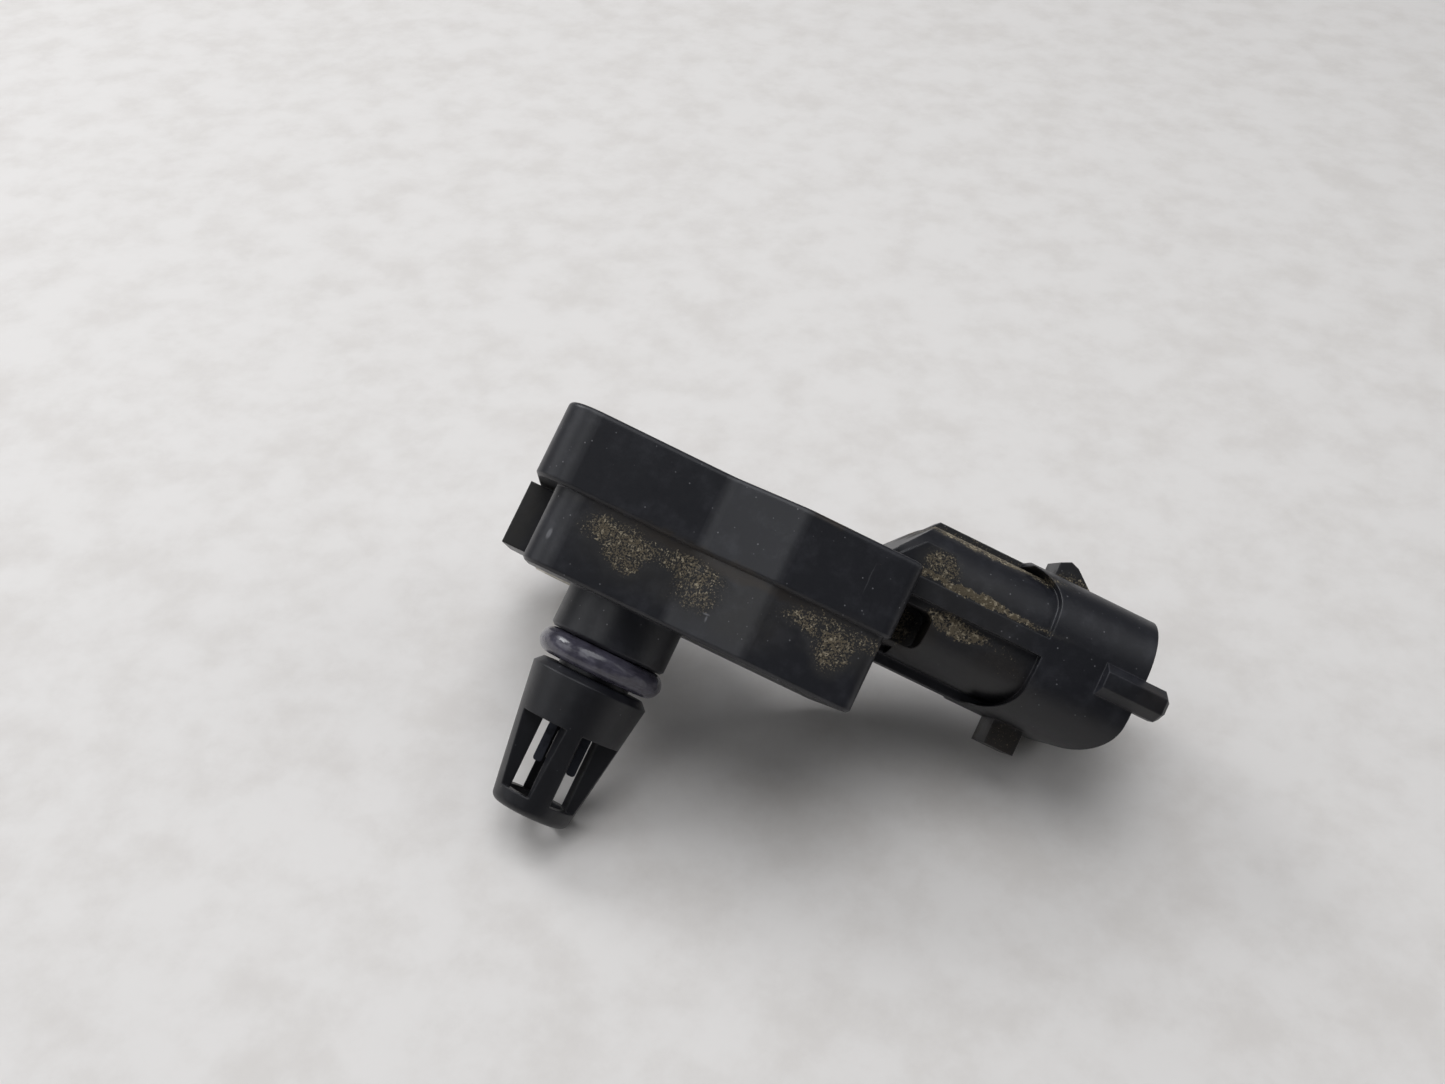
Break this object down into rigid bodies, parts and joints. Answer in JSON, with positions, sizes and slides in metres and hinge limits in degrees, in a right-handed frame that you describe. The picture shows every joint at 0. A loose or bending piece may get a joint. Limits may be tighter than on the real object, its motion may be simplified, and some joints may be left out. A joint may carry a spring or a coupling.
{
  "type": "manifold pressure and temperature sensor",
  "caption": "Manifold pressure and temperature sensor: flat housing with a fixing ear, sealed round spigot with an open cage, and an oval plug connector.",
  "frame": {"origin": "on the spigot's axis at the mounting face that lies against the manifold", "axes": "+Z along the spigot's axis, away from the manifold; +X towards the mouth of the plug connector; the fixing ear stands out on the +Y side"},
  "size_m": [0.0626, 0.04, 0.0448],
  "materials": {
    "housing_plastic": "satin moulded black, glass filled, dusty in places",
    "cover_plastic": "satin moulded black",
    "glue": "smooth cured sealant, dark grey",
    "bush_steel": "turned, zinc plated",
    "ring_rubber": "dark grey, slightly oily sheen",
    "bead_resin": "dipped resin",
    "tinned_metal": "tinned copper alloy",
    "leg_metal": "stamped, dull and darkened",
    "board_laminate": "solder-masked laminate",
    "seal_rubber": "soft moulded silicone",
    "cell_plastic": "moulded, unfilled",
    "pedestal_glass": "ground glass",
    "silicon": "polished silicon",
    "gel": "clear soft gel",
    "chip_resin": "moulded resin",
    "capacitor_ceramic": "fired ceramic with plated ends"
  },
  "bodies": {
    "root": {"housing": "housing_plastic", "cover": "cover_plastic", "cover_glue": "glue", "fixing_bush": "bush_steel", "o_ring": "ring_rubber", "thermistor_bead": "bead_resin", "thermistor_wire_1": "tinned_metal", "thermistor_wire_2": "tinned_metal", "sensor_leg_1": "leg_metal", "sensor_leg_2": "leg_metal", "terminal_1": "tinned_metal", "terminal_2": "tinned_metal", "terminal_3": "tinned_metal", "terminal_4": "tinned_metal", "circuit_board": "board_laminate", "port_seal": "seal_rubber", "cell_frame": "cell_plastic", "glass_pedestal": "pedestal_glass", "pressure_chip": "silicon", "protective_gel": "gel", "logic_chip": "chip_resin", "capacitor_1": "capacitor_ceramic", "capacitor_2": "capacitor_ceramic", "capacitor_3": "capacitor_ceramic", "capacitor_4": "capacitor_ceramic"}
  },
  "joints": []
}
